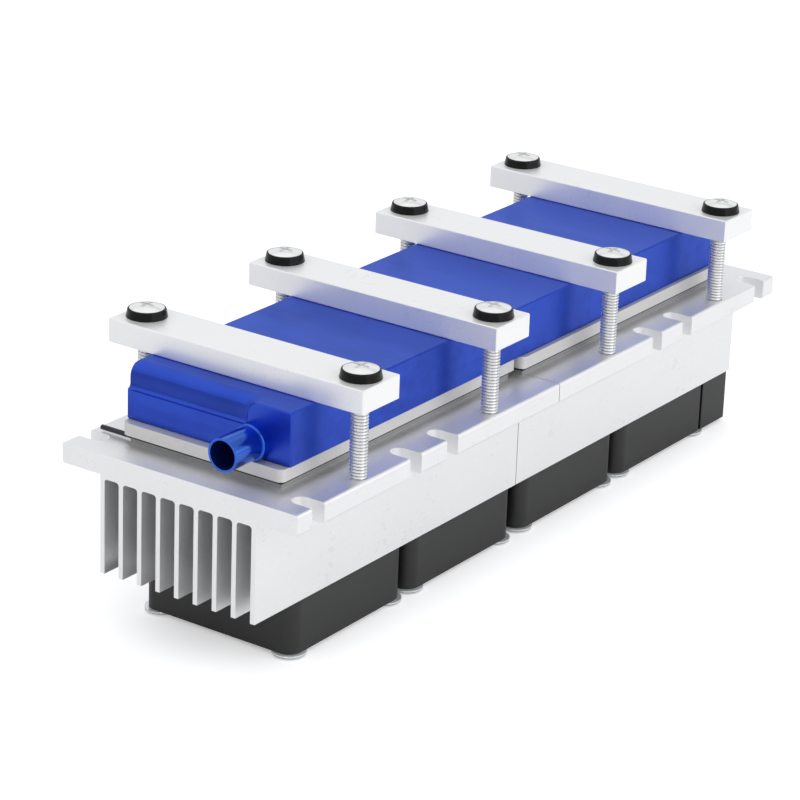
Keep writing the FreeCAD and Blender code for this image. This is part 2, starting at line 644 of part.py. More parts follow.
def fan_motor(number, x):
    """Pieces inside the hub: bearing and stator on the frame, shaft and magnet ring on the rotor."""
    bore = "sizes.shaft_diameter + 2 * sizes.running_clearance"
    bearing_z = f"{TUBE_END} + sizes.motor_end_gap"
    round_piece(f"fan_bearing_{number}", x, bearing_z, "sizes.bearing_diameter", bore, "sizes.bearing_length")
    stator(number, x)
    shaft_length = f"{MOTOR_BASE_FACE} - sizes.motor_end_gap - {HUB_FLOOR_TOP}"
    round_piece(f"fan_shaft_{number}", x, HUB_FLOOR_TOP, "sizes.shaft_diameter", None, shaft_length)
    magnet_z = f"{HUB_TOP} - sizes.magnet_length - sizes.motor_end_gap"
    round_piece(f"fan_magnet_{number}", x, magnet_z, MAGNET_OUTSIDE, MAGNET_INSIDE, "sizes.magnet_length")


def fan_screws(number, x):
    """Four long screws with low round heads, on which the module stands."""
    body = new_body(f"fan_screws_{number}", x=x)
    shank, head = "0.5 * sizes.fan_screw_diameter", "0.5 * sizes.fan_head_diameter"
    flat, height = "0.5 * sizes.fan_head_flat", "sizes.fan_head_height"
    tip = f"{SINK_TOP} - sizes.base_thickness + sizes.fan_screw_engagement - 2 * sizes.seat_clearance"
    sketch = new_sketch(body, "profile", "XZ_Plane", offset=f"-{FAN_HOLE}", across=FAN_HOLE)
    outline(sketch, [
        ("0", "0"),
        (flat, "0", "sizes.fan_head_crown_radius", "left"),
        (head, f"{height} - sizes.fan_head_rim"),
        (head, height),
        (shank, height),
        (shank, tip),
        ("0", tip),
    ])
    screw = turned(body, "Revolution", "screw", sketch)
    sketch = new_sketch(body, "cross", across=FAN_HOLE, along=FAN_HOLE)
    cross_outline(sketch)
    recess = pocket(body, "cross_recess", sketch, "sizes.fan_cross_depth", forward=True)
    round_pattern(body, "screws", [screw, recess], str(len(CORNERS)))


def fan_washers():
    """Flat washer under the head of every fan screw."""
    body = new_body("fan_washers", z="sizes.fan_head_height")
    sketch = new_sketch(body, "rings")
    for centre in FAN_X:
        for x_side, y_side in CORNERS:
            for diameter in ("sizes.fan_washer_diameter", "sizes.fan_hole_diameter"):
                circle(sketch, f"{centre} + {x_side} * {FAN_HOLE}", f"{y_side} * {FAN_HOLE}", diameter)
    pad(body, "washers", sketch, "sizes.fan_washer_thickness")


def wiring_cover():
    """Open-topped cover with ears round the last fan's corners, flush with the end of the heat sink."""
    body = new_body("wiring_cover", x=f"{FAN_X[3]} + 0.5 * sizes.fan_size", z=FAN_BOTTOM)
    side, gap = "0.5 * sizes.fan_size", "sizes.cover_clearance"
    lap = f"(sizes.fan_corner_radius + {gap})"
    ear_x = f"({lap} * cos(sizes.cover_lap_angle) - sizes.fan_corner_radius)"
    ear_y = f"({side} - sizes.fan_corner_radius + {lap} * sin(sizes.cover_lap_angle))"
    corner_y = f"({side} - sizes.fan_corner_radius)"
    end, radius = "sizes.cover_length", "sizes.cover_corner_radius"
    sketch = new_sketch(body, "outside")
    outline(sketch, [
        (ear_x, f"-{side}"),
        (f"{end} - {radius}", f"-{side}", radius, "left"),
        (end, f"-{side} + {radius}"),
        (end, f"{side} - {radius}", radius, "left"),
        (f"{end} - {radius}", side),
        (ear_x, side),
        (ear_x, ear_y, lap, "right"),
        (gap, corner_y),
        (gap, f"-{corner_y}", lap, "right"),
        (ear_x, f"-{ear_y}"),
    ])
    pad(body, "cover", sketch, "sizes.fan_depth")
    sketch = new_sketch(body, "inside", offset="sizes.cover_wall")
    length = f"({end} - {gap} - 2 * sizes.cover_wall)"
    rectangle(sketch, length, "sizes.fan_size - 2 * sizes.cover_wall", x=f"0.5 * ({end} + {gap})")
    pocket(body, "hollow", sketch, "sizes.fan_depth - sizes.cover_wall", forward=True)


# Cooling modules, seals and cold plates

def cooling_module(number, x, y):
    """Two ceramic faces with the block of pellets between them."""
    body = new_body(f"cooling_module_{number}", x=x, y=y, z=SINK_TOP)
    upper = "sizes.module_height - sizes.ceramic_thickness"
    core = "sizes.module_side - 2 * sizes.pellet_inset"
    sketch = new_sketch(body, "hot_side")
    rectangle(sketch, "sizes.module_side", "sizes.module_side")
    pad(body, "hot_ceramic", sketch, "sizes.ceramic_thickness")
    sketch = new_sketch(body, "core")
    rectangle(sketch, core, core)
    pad(body, "pellets", sketch, upper)
    sketch = new_sketch(body, "cold_side", offset=upper)
    rectangle(sketch, "sizes.module_side", "sizes.module_side")
    pad(body, "cold_ceramic", sketch, "sizes.ceramic_thickness")


def cold_plate(place):
    """Plate between the cooling modules and the water block."""
    body = new_body(f"cold_plate_{place}", x=PLATE_X[place], y=PLATE_Y[place], z=PLATE_BOTTOM)
    sketch = new_sketch(body, "outline")
    rounded_rectangle(sketch, "sizes.plate_length", "sizes.plate_width", "sizes.plate_corner_radius")
    pad(body, "plate", sketch, "sizes.plate_thickness")


def module_seal(place, bars):
    """Foam frame round the modules, with a window for each."""
    body = new_body(f"module_seal_{place}", x=PLATE_X[place], y=PLATE_Y[place], z=SINK_TOP)
    length = "(sizes.plate_length - 2 * sizes.seal_end_inset)"
    width = "(sizes.plate_width - 2 * sizes.seal_side_inset)"
    sketch = new_sketch(body, "outline")
    rectangle(sketch, length, width)
    pad(body, "foam", sketch, "sizes.module_height")
    sketch = new_sketch(body, "windows")
    window = "sizes.module_side + 2 * sizes.seal_window_clearance"
    for bar in bars:
        for side in ("", "-"):
            x = f"{bar} - {PLATE_X[place]}"
            rectangle(sketch, window, window, x=x, y=f"{side}0.5 * sizes.module_pitch")
    pocket(body, "module_windows", sketch, "sizes.module_height", forward=True)
    return body, length, width


def lead_hole(body, length, width):
    """Blind hole in the seal's side, where the module lead comes out."""
    sketch = new_sketch(body, "lead", "XZ_Plane", offset=f"-0.5 * {width}")
    diameter = "sizes.lead_diameter + 2 * sizes.running_clearance"
    circle(sketch, f"-0.5 * {length} + sizes.lead_inset", "0.5 * sizes.module_height", diameter)
    pocket(body, "lead_hole", sketch, "sizes.lead_socket", forward=True)


def module_lead():
    """Short straight lead with a cut end."""
    x = f"{PLATE_X['near']} - 0.5 * sizes.plate_length + sizes.seal_end_inset + sizes.lead_inset"
    y = f"{PLATE_Y['near']} + 0.5 * sizes.plate_width + sizes.lead_reach"
    length = "sizes.lead_reach + sizes.seal_side_inset + sizes.lead_socket"
    body = new_body("module_lead", x=x, y=y, z=f"{SINK_TOP} + 0.5 * sizes.module_height")
    sketch = new_sketch(body, "section", "XZ_Plane")
    circle(sketch, "0", "0", "sizes.lead_diameter")
    pad(body, "lead", sketch, length)


# Water block and pipes

def water_block():
    """Bored block. Both ends are milled back above a ridge, and the cutter stops short of one side."""
    body = new_body("water_block", x="sizes.block_x", z=BLOCK_BOTTOM)
    end = "0.5 * sizes.block_length"
    sketch = new_sketch(body, "outline")
    rectangle(sketch, "sizes.block_length", "sizes.block_width")
    block = pad(body, "block", sketch, "sizes.block_height")
    bevel_all(body, "bevels", block, "sizes.block_chamfer")

    axis = f"-{end} - sizes.nose_cutter_overhang"
    face = "sizes.nose_cutter_overhang + sizes.nose_recess"
    cuts = []
    for name in ("milled_end", "cutter_run_out"):
        sketch = new_sketch(body, f"{name}_profile", "XZ_Plane", offset="-sizes.nose_stop_y", across=axis)
        outline(sketch, [
            ("0", "sizes.ridge_height"),
            ("sizes.nose_cutter_overhang", "sizes.ridge_height", "sizes.nose_recess", "left"),
            (face, "sizes.ridge_height + sizes.nose_recess"),
            (face, "sizes.block_height - sizes.nose_edge_radius", "sizes.nose_edge_radius", "right"),
            (f"{face} + sizes.nose_edge_radius", "sizes.block_height"),
            (f"{face} + sizes.nose_edge_radius", f"sizes.block_height + {PAST}"),
            ("0", f"sizes.block_height + {PAST}"),
        ])
        if name == "milled_end":
            cuts.append(pocket(body, name, sketch, f"0.5 * sizes.block_width - sizes.nose_stop_y + {PAST}"))
        else:
            cuts.append(turned(body, "Groove", name, sketch))

    sketch = new_sketch(body, "socket", "YZ_Plane", offset=f"-{end}")
    seat = "sizes.pipe_spigot_diameter + 2 * sizes.seat_clearance"
    circle(sketch, "-sizes.pipe_offset", "sizes.pipe_height", seat)
    cuts.append(pocket(body, "pipe_socket", sketch, "sizes.pipe_socket", forward=True))
    sketch = new_sketch(body, "channel", "YZ_Plane", offset=f"-{end}")
    circle(sketch, "-sizes.pipe_offset", "sizes.pipe_height", "sizes.channel_diameter")
    depth = "sizes.block_length - sizes.channel_end_wall"
    cuts.append(pocket(body, "channel_bore", sketch, depth, forward=True))
    round_pattern(body, "both_ends", cuts, "2")

    first = "-0.5 * (sizes.cross_channel_count - 1) * sizes.cross_channel_pitch"
    sketch = new_sketch(body, "cross", "XZ_Plane", offset="-sizes.pipe_offset", across=first)
    circle(sketch, "0", "sizes.pipe_height", "sizes.cross_channel_diameter")
    channel = pocket(body, "first_cross_channel", sketch, "2 * sizes.pipe_offset", forward=True)
    extent = "(sizes.cross_channel_count - 1) * sizes.cross_channel_pitch"
    row_pattern(body, "cross_channels", [channel], "X_Axis", "sizes.cross_channel_count", extent)


def hose_pipe(name, side, turn):
    """Pipe with a collar, pointing out of one end of the block along its own X axis."""
    x = f"sizes.block_x + {side} * 0.5 * sizes.block_length"
    y = f"{side} * sizes.pipe_offset"
    body = new_body(name, x=x, y=y, z=f"{BLOCK_BOTTOM} + sizes.pipe_height", turn=turn)
    reach = f"(sizes.pipe_reach - {1 + side} * sizes.block_x)"
    outer, spigot = "0.5 * sizes.pipe_diameter", "0.5 * sizes.pipe_spigot_diameter"
    inner = f"{outer} - sizes.pipe_wall"
    collar, edge = "0.5 * sizes.collar_diameter", "sizes.collar_edge_radius"
    edge = f"min({edge}, 0.9 * (0.5 * sizes.collar_diameter - {outer}))"
    sketch = new_sketch(body, "profile", "XZ_Plane")
    outline(sketch, [
        ("-sizes.pipe_socket", inner),
        (reach, inner),
        (reach, outer),
        ("sizes.collar_length", outer),
        ("sizes.collar_length", f"{collar} - {edge}", edge, "left"),
        (f"sizes.collar_length - {edge}", collar),
        ("0", collar),
        ("0", spigot),
        ("-sizes.pipe_socket", spigot),
    ])
    turned(body, "Revolution", "pipe", sketch, "H_Axis")
    level = "-sizes.pipe_height + sizes.collar_lift"
    sketch = new_sketch(body, "flat", "XY_Plane", offset=level)
    length = f"(sizes.collar_length + {PAST})"
    rectangle(sketch, length, "sizes.collar_diameter", x=f"0.5 * {length}")
    pocket(body, "collar_flat", sketch, "sizes.collar_diameter")


# Clamp bars, screws and washers

HEAD_SEAT = "(sizes.washer_height - sizes.clamp_head_recess)"


def clamp_bar(number, x):
    """Flat bar across the block, with a hole at each end."""
    body = new_body(f"clamp_bar_{number}", x=x, z=BAR_BOTTOM)
    sketch = new_sketch(body, "outline")
    rectangle(sketch, "sizes.bar_width", "sizes.bar_length")
    bar = pad(body, "bar", sketch, "sizes.bar_thickness")
    bevel_all(body, "bevels", bar, "sizes.bar_chamfer")
    sketch = new_sketch(body, "holes")
    for side in ("", "-"):
        circle(sketch, "0", f"{side}{CLAMP_SCREW_Y}", "sizes.bar_hole_diameter")
    pocket(body, "screw_holes", sketch, "sizes.bar_thickness", forward=True)


def clamp_screws(number, x):
    """The two screws of one bar, from above its washers down through the flange."""
    body = new_body(f"clamp_screws_{number}", x=x, z=BAR_TOP)
    shank, head = "0.5 * sizes.clamp_screw_diameter", "0.5 * sizes.clamp_head_diameter"
    tip = f"{SINK_TOP} - {BAR_TOP} - sizes.flange_thickness + sizes.clamp_tip_inset"
    rim = f"{HEAD_SEAT} + sizes.clamp_head_rim"
    dome = "sizes.clamp_head_dome"
    dome_radius = f"(({head}) ^ 2 + {dome} ^ 2) / (2 * {dome})"
    sketch = new_sketch(body, "profile", "XZ_Plane", offset=f"-{CLAMP_SCREW_Y}")
    outline(sketch, [
        ("0", tip),
        (f"{shank} - sizes.clamp_tip_chamfer", tip),
        (shank, f"{tip} + sizes.clamp_tip_chamfer"),
        (shank, HEAD_SEAT),
        (head, HEAD_SEAT),
        (head, rim, dome_radius, "left"),
        ("0", f"{rim} + {dome}"),
    ])
    screw = turned(body, "Revolution", "screw", sketch)
    sketch = new_sketch(body, "cross", offset=f"{rim} + {dome}", along=CLAMP_SCREW_Y)
    cross_outline(sketch)
    recess = pocket(body, "cross_recess", sketch, "sizes.cross_depth")
    mirror(body, "both_screws", [screw, recess])


def cup_washers(number, x):
    """The two cup washers of one bar."""
    body = new_body(f"cup_washers_{number}", x=x, z=BAR_TOP)
    foot, top = "0.5 * sizes.washer_base_diameter", "0.5 * sizes.washer_top_diameter"
    bore, edge = "0.5 * sizes.washer_bore", "sizes.washer_edge_radius"
    cup = "0.5 * sizes.clamp_head_diameter + sizes.washer_seat_clearance"
    edge = f"min({edge}, 0.9 * ({top} - ({cup})))"
    sketch = new_sketch(body, "profile", "XZ_Plane", offset=f"-{CLAMP_SCREW_Y}")
    outline(sketch, [
        (bore, "0"),
        (foot, "0"),
        (top, f"sizes.washer_height - {edge}", edge, "left"),
        (f"{top} - {edge}", "sizes.washer_height"),
        (cup, "sizes.washer_height"),
        (cup, HEAD_SEAT),
        (bore, HEAD_SEAT),
    ])
    washer = turned(body, "Revolution", "washer", sketch)
    mirror(body, "both_washers", [washer])


def build():
    """Every sub-part, from the fans up."""
    for number, x in enumerate(FAN_X, start=1):
        fan_frame(number, x)
        fan_rotor(number, x)
        fan_motor(number, x)
        fan_screws(number, x)
    fan_washers()
    wiring_cover()
    near_fans = [f"(-{x})" for x in FAN_X[:2]]
    heat_sink("heat_sink_near", 180, -1, near_fans)
    heat_sink("heat_sink_far", 0, 1, FAN_X[2:])
    number = 0
    for place, bars in (("near", BAR_X[:2]), ("far", BAR_X[2:])):
        cold_plate(place)
        seal, length, width = module_seal(place, bars)
        if place == "near":
            lead_hole(seal, length, width)
        for bar in bars:
            for side in ("-", "+"):
                number += 1
                cooling_module(number, bar, f"{PLATE_Y[place]} {side} 0.5 * sizes.module_pitch")
    module_lead()
    water_block()
    hose_pipe("inlet_pipe", -1, 180)
    hose_pipe("outlet_pipe", 1, 0)
    for number, x in enumerate(BAR_X, start=1):
        clamp_bar(number, x)
        cup_washers(number, x)
        clamp_screws(number, x)


def check():
    """Stop before anything is written if a feature or a sub-part failed."""
    for item in document.Objects:
        if "Invalid" in item.State or "Error" in item.State:
            raise RuntimeError(f"{item.Name}: {item.State}")
        if item.TypeId in ("PartDesign::Pocket", "PartDesign::Groove"):
            if item.Shape.Volume >= item.BaseFeature.Shape.Volume:
                raise RuntimeError(f"{item.Name} cuts nothing")
    for body in subparts:
        if body.Shape.isNull() or not body.Shape.isValid():
            raise RuntimeError(f"{body.Label}: shape is not valid")


build()
document.recompute()
check()
os.makedirs("parts", exist_ok=True)
for body in subparts:
    body.Shape.exportStep(f"parts/{body.Label}.step")
print(f"{len(subparts)} sub-parts written")
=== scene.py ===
import math
import bmesh
import bpy
from mathutils import Matrix, Vector


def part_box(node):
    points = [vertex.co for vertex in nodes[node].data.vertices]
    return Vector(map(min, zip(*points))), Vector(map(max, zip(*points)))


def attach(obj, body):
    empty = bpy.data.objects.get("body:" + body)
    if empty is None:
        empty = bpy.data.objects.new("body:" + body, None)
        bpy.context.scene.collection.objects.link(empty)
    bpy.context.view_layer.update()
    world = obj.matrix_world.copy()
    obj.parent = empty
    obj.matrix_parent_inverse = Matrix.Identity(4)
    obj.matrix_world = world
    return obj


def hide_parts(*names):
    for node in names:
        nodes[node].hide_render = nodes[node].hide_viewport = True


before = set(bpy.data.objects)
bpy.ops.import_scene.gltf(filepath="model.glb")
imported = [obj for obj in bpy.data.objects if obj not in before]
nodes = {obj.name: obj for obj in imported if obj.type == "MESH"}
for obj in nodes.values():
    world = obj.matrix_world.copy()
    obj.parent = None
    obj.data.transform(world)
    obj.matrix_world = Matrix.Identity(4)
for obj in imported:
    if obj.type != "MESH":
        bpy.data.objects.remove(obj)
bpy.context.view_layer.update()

MM = 0.001


# Camera: the photograph's place and angle, in the part's own frame

IMAGE_SIDE = 800
CAMERA_PLACE = Vector((-1150.678, -769.930, 594.264)) * MM
CAMERA_YAW = math.radians(55.389)
CAMERA_PITCH = math.radians(21.212)
CAMERA_ROLL = math.radians(2.080)
FOCAL_LENGTH_PX = 3259.91
SENSOR_MM = 36.0
CLIP_START, CLIP_END = 0.05, 50.0


def make_camera():
    """Camera that looks along yaw and pitch, rolled about its own axis."""
    forward = Vector((
        math.sin(CAMERA_YAW) * math.cos(CAMERA_PITCH),
        math.cos(CAMERA_YAW) * math.cos(CAMERA_PITCH),
        -math.sin(CAMERA_PITCH),
    ))
    level = Vector((math.cos(CAMERA_YAW), -math.sin(CAMERA_YAW), 0.0))
    above = level.cross(forward)
    right = level * math.cos(CAMERA_ROLL) + above * math.sin(CAMERA_ROLL)
    up = above * math.cos(CAMERA_ROLL) - level * math.sin(CAMERA_ROLL)
    data = bpy.data.cameras.new("photo_camera")
    data.sensor_width = SENSOR_MM
    data.lens = SENSOR_MM * FOCAL_LENGTH_PX / IMAGE_SIDE
    data.clip_start, data.clip_end = CLIP_START, CLIP_END
    camera = bpy.data.objects.new("photo_camera", data)
    turn = Matrix((right, up, -forward)).transposed().to_4x4()
    camera.matrix_world = Matrix.Translation(CAMERA_PLACE) @ turn
    bpy.context.scene.collection.objects.link(camera)
    bpy.context.scene.camera = camera


# Materials

EVEN = (1, 1, 1)
ALONG_X = (25, 1600, 1600)
ALONG_Y = (1600, 25, 1600)
DRAWN_LINES = (15, 900, 900)
BROAD_STREAKS = (120, 25, 160)

FINE_RELIEF = 0.02 * MM
MOULD_RELIEF = 0.04 * MM
GRAIN_RELIEF = 0.05 * MM


def new_material(name):
    """New node material with its node tree and its Principled shader."""
    material = bpy.data.materials.new(name)
    material.use_nodes = True
    tree = material.node_tree
    shader = tree.nodes["Principled BSDF"]
    return material, tree, shader


def set_inputs(node, **values):
    """Set sockets by name; an underscore stands for a space."""
    for name, value in values.items():
        node.inputs[name.replace("_", " ")].default_value = value


def object_place(tree, stretch):
    """Object coordinates in metres, stretched along the axes."""
    place = tree.nodes.new("ShaderNodeTexCoord")
    mapping = tree.nodes.new("ShaderNodeMapping")
    mapping.inputs["Scale"].default_value = stretch
    tree.links.new(place.outputs["Object"], mapping.inputs["Vector"])
    return mapping.outputs["Vector"]


def noise(tree, vector, scale, detail=3.0, rough=0.5):
    """Noise value in the given coordinates."""
    node = tree.nodes.new("ShaderNodeTexNoise")
    set_inputs(node, Scale=scale, Detail=detail, Roughness=rough)
    tree.links.new(vector, node.inputs["Vector"])
    return node.outputs["Fac"]


def ramp(tree, value, stops):
    """Colour ramp; a stop is (position, colour)."""
    node = tree.nodes.new("ShaderNodeValToRGB")
    elements = node.color_ramp.elements
    elements[0].position, elements[0].color = stops[0][0], (*stops[0][1], 1.0)
    elements[1].position, elements[1].color = stops[-1][0], (*stops[-1][1], 1.0)
    for position, colour in stops[1:-1]:
        elements.new(position).color = (*colour, 1.0)
    tree.links.new(value, node.inputs["Fac"])
    return node.outputs["Color"]


def spread(tree, value, low, high):
    """Map a noise value to a range."""
    node = tree.nodes.new("ShaderNodeMapRange")
    set_inputs(node, From_Min=0.3, From_Max=0.7, To_Min=low, To_Max=high)
    tree.links.new(value, node.inputs["Value"])
    return node.outputs["Result"]


def bump(tree, shader, height, strength, distance):
    """Bump from a height value."""
    node = tree.nodes.new("ShaderNodeBump")
    set_inputs(node, Strength=strength, Distance=distance)
    tree.links.new(height, node.inputs["Height"])
    tree.links.new(node.outputs["Normal"], shader.inputs["Normal"])


def add(tree, first, second, share):
    """first plus a share of second."""
    node = tree.nodes.new("ShaderNodeMath")
    node.operation = "MULTIPLY_ADD"
    node.inputs[1].default_value = share
    tree.links.new(second, node.inputs[0])
    tree.links.new(first, node.inputs[2])
    return node.outputs[0]


def bare_aluminium(name, stretch, base, rough, streak=0.2, metallic=0.6):
    """Etched aluminium: fine draw lines along one axis, mottling and soft handling marks."""
    material, tree, shader = new_material(name)
    lines = noise(tree, object_place(tree, stretch), 1.0, detail=4.0, rough=0.6)
    even = object_place(tree, EVEN)
    clouds = noise(tree, even, 38.0, detail=3.0)
    mottling = noise(tree, even, 330.0, detail=2.0)
    marks = add(tree, add(tree, mottling, clouds, 0.6), lines, 0.6)
    tone = ramp(tree, marks, [
        (0.85, tuple(c * 0.93 for c in base)),
        (1.00, tuple(c * 0.98 for c in base)),
        (1.35, tuple(min(1.0, c * 1.02) for c in base)),
    ])
    tree.links.new(tone, shader.inputs["Base Color"])
    tree.links.new(spread(tree, clouds, rough - 0.05, rough + 0.07), shader.inputs["Roughness"])
    shader.inputs["Metallic"].default_value = metallic
    bump(tree, shader, lines, streak, FINE_RELIEF)
    return material


# Painted shade on the recessed end faces of the water block: its tone, and how far from the block's
# ends it stops.
RECESS_SHADE_TONE = (0.55, 0.66, 0.72)
END_MARGIN = 1.0 * MM
FACING_END = 0.9
BLUE_SHEEN = (0.45, 0.62, 1.0, 1)


def painted_recess_shade(tree, tone):
    """Painted shade: deeper tone on the recessed end faces of the water block, flat across X."""
    low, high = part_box("water_block")
    place = tree.nodes.new("ShaderNodeTexCoord")
    steps = []
    for output, offset, test, limit in (
        ("Object", -(low.x + high.x) / 2, "LESS_THAN", (high.x - low.x) / 2 - END_MARGIN),
        ("Normal", 0.0, "GREATER_THAN", FACING_END),
    ):
        axes = tree.nodes.new("ShaderNodeSeparateXYZ")
        tree.links.new(place.outputs[output], axes.inputs["Vector"])
        last = axes.outputs["X"]
        for operation, number in (("ADD", offset), ("ABSOLUTE", 0.0), (test, limit)):
            step = tree.nodes.new("ShaderNodeMath")
            step.operation = operation
            step.inputs[1].default_value = number
            tree.links.new(last, step.inputs[0])
            last = step.outputs[0]
        steps.append(last)
    both = tree.nodes.new("ShaderNodeMath")
    both.operation = "MULTIPLY"
    tree.links.new(steps[0], both.inputs[0])
    tree.links.new(steps[1], both.inputs[1])
    shade = ramp(tree, both.outputs[0], [(0.0, (1.0, 1.0, 1.0)), (1.0, RECESS_SHADE_TONE)])
    mix = tree.nodes.new("ShaderNodeVectorMath")
    mix.operation = "MULTIPLY"
    tree.links.new(tone, mix.inputs[0])
    tree.links.new(shade, mix.inputs[1])
    return mix.outputs[0]


def anodised_blue(name, deep, light, rough, coat, recess_shade=False):
    """Blue anodised aluminium: tinted metal under a thin clear layer, with painted shade on the
    recessed end faces when asked.
    """
    material, tree, shader = new_material(name)
    clouds = noise(tree, object_place(tree, EVEN), 30.0, detail=2.0)
    streaks = noise(tree, object_place(tree, BROAD_STREAKS), 1.0, detail=3.0)
    lines = noise(tree, object_place(tree, DRAWN_LINES), 1.0, detail=3.0)
    tone = ramp(tree, add(tree, clouds, streaks, 0.8), [(0.65, deep), (1.15, light)])
    # Painted shade: a deeper tone on the recessed end faces.
    if recess_shade:
        tone = painted_recess_shade(tree, tone)
    tree.links.new(tone, shader.inputs["Base Color"])
    tree.links.new(spread(tree, clouds, rough - 0.04, rough + 0.04), shader.inputs["Roughness"])
    set_inputs(shader, Metallic=0.9, Coat_Weight=coat, Coat_Roughness=rough * 0.8, Coat_IOR=1.5)
    set_inputs(shader, Specular_Tint=BLUE_SHEEN)
    bump(tree, shader, lines, 0.15, FINE_RELIEF)
    return material


def moulded_black(name, tone, rough, shine=0.5):
    """Moulded black plastic with a fine grain."""
    material, tree, shader = new_material(name)
    grain = noise(tree, object_place(tree, EVEN), 1800.0, detail=2.0)
    shade = ramp(tree, grain, [(0.3, (tone * 0.85,) * 3), (0.7, (tone * 1.15,) * 3)])
    tree.links.new(shade, shader.inputs["Base Color"])
    set_inputs(shader, Roughness=rough, IOR=1.47, Specular_IOR_Level=shine)
    bump(tree, shader, grain, 0.25, MOULD_RELIEF)
    return material


def bright_metal(name, base, rough, fine=0.1, metallic=1.0):
    """Plated metal with a slight haze."""
    material, tree, shader = new_material(name)
    haze = noise(tree, object_place(tree, EVEN), 420.0, detail=3.0)
    tone = ramp(tree, haze, [(0.3, tuple(c * 0.92 for c in base)), (0.7, base)])
    tree.links.new(tone, shader.inputs["Base Color"])
    tree.links.new(spread(tree, haze, rough - 0.04, rough + 0.06), shader.inputs["Roughness"])
    shader.inputs["Metallic"].default_value = metallic
    bump(tree, shader, haze, fine, FINE_RELIEF)
    return material


def matte(name, base, rough, grain_scale=900.0, grain=0.3):
    """Dull surface with a fine grain, such as ceramic, foam or wire insulation."""
    material, tree, shader = new_material(name)
    grain_value = noise(tree, object_place(tree, EVEN), grain_scale, detail=3.0)
    tone = ramp(tree, grain_value, [(0.3, tuple(c * 0.88 for c in base)), (0.7, base)])
    tree.links.new(tone, shader.inputs["Base Color"])
    shader.inputs["Roughness"].default_value = rough
    bump(tree, shader, grain_value, grain, GRAIN_RELIEF)
    return material


# Foam tone, and the painted shadow under the plate: its black tone, and the height share where it
# starts and fades in.
FOAM_TONE = (0.30, 0.30, 0.30)
UNDER_PLATE_SHADE_TONE = (0.03, 0.03, 0.03)
SHADE_START, SHADE_FADE = 0.44, 0.06


def foam_with_painted_shade(name):
    """Grey closed-cell foam, painted black over its upper part as the shadow under the plate."""
    material, tree, shader = new_material(name)
    low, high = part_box("module_seal_near")
    place = tree.nodes.new("ShaderNodeTexCoord")
    axes = tree.nodes.new("ShaderNodeSeparateXYZ")
    tree.links.new(place.outputs["Object"], axes.inputs["Vector"])
    share = tree.nodes.new("ShaderNodeMapRange")
    set_inputs(share, From_Min=low.z, From_Max=high.z)
    tree.links.new(axes.outputs["Z"], share.inputs["Value"])
    cells = noise(tree, object_place(tree, EVEN), 1400.0, detail=2.0)
    tone = ramp(tree, add(tree, share.outputs["Result"], cells, 0.06), [
        (SHADE_START, FOAM_TONE),
        (SHADE_START + SHADE_FADE, UNDER_PLATE_SHADE_TONE),
    ])
    tree.links.new(tone, shader.inputs["Base Color"])
    shader.inputs["Roughness"].default_value = 0.85
    bump(tree, shader, cells, 0.5, GRAIN_RELIEF)
    return material


MATERIALS = {
    "sink": bare_aluminium("sink_aluminium", ALONG_X, (0.94, 0.94, 0.94), 0.42, metallic=0.82),
    "bar": bare_aluminium("bar_aluminium", ALONG_Y, (0.975, 0.975, 0.965), 0.36, metallic=0.5),
    "plate": bare_aluminium("plate_aluminium", ALONG_X, (0.70, 0.69, 0.675), 0.45, metallic=0.5),
    # The block's blue carries painted shade on its recessed end faces.
    "blue": anodised_blue(
        "anodised_blue", (0.011, 0.048, 0.44), (0.017, 0.070, 0.56), 0.34, 0.4, recess_shade=True),
    "pipe_blue": anodised_blue("pipe_blue", (0.008, 0.085, 0.54), (0.012, 0.120, 0.68), 0.16, 0.7),
    "fan": moulded_black("fan_black", 0.020, 0.45),
    "rotor": moulded_black("rotor_black", 0.022, 0.36),
    "washer": moulded_black("washer_black", 0.004, 0.20, shine=0.22),
    "bright": bright_metal("bright_steel", (0.95, 0.95, 0.94), 0.20, metallic=0.7),
    # Darker steel for painted shade in the thread grooves.
    "groove_shade": bright_metal("groove_painted_shade_steel", (0.50, 0.50, 0.51), 0.40, metallic=0.7),
    "zinc": bright_metal("zinc_steel", (0.92, 0.95, 0.96), 0.22, metallic=0.5),
    "plated": bright_metal("plated_steel", (0.46, 0.48, 0.49), 0.25),
    "ground": bright_metal("ground_steel", (0.75, 0.75, 0.75), 0.25),
    "stator": bright_metal("stator_steel", (0.32, 0.32, 0.34), 0.5),
    "bronze": bright_metal("sintered_bronze", (0.62, 0.44, 0.27), 0.45, 0.3),
    "magnet": matte("magnet_ring", (0.07, 0.07, 0.075), 0.6),
    "ceramic": matte("module_ceramic", (0.82, 0.82, 0.80), 0.55),
    # The seal's foam carries a painted shadow under the plate.
    "foam": foam_with_painted_shade("seal_foam"),
    "lead": matte("lead_insulation", (0.015, 0.015, 0.016), 0.4),
}

NODE_MATERIALS = (
    ("heat_sink", "sink"),
    ("clamp_bar", "bar"),
    ("clamp_screws", "bright"),
    ("cup_washers", "washer"),
    ("cold_plate", "plate"),
    ("water_block", "blue"),
    ("inlet_pipe", "pipe_blue"),
    ("outlet_pipe", "pipe_blue"),
    ("fan_frame", "fan"),
    ("fan_rotor", "rotor"),
    ("fan_screws", "plated"),
    ("fan_washers", "zinc"),
    ("fan_shaft", "ground"),
    ("fan_magnet", "magnet"),
    ("fan_stator", "stator"),
    ("fan_bearing", "bronze"),
    ("wiring_cover", "fan"),
    ("cooling_module", "ceramic"),
    ("module_seal", "foam"),
    ("module_lead", "lead"),
)


def dress_nodes():
    """Give each carried-over node its material."""
    for name, node in nodes.items():
        key = next(key for start, key in NODE_MATERIALS if name.startswith(start))
        node.data.materials.clear()
        node.data.materials.append(MATERIALS[key])


# Clamp screws with their threads

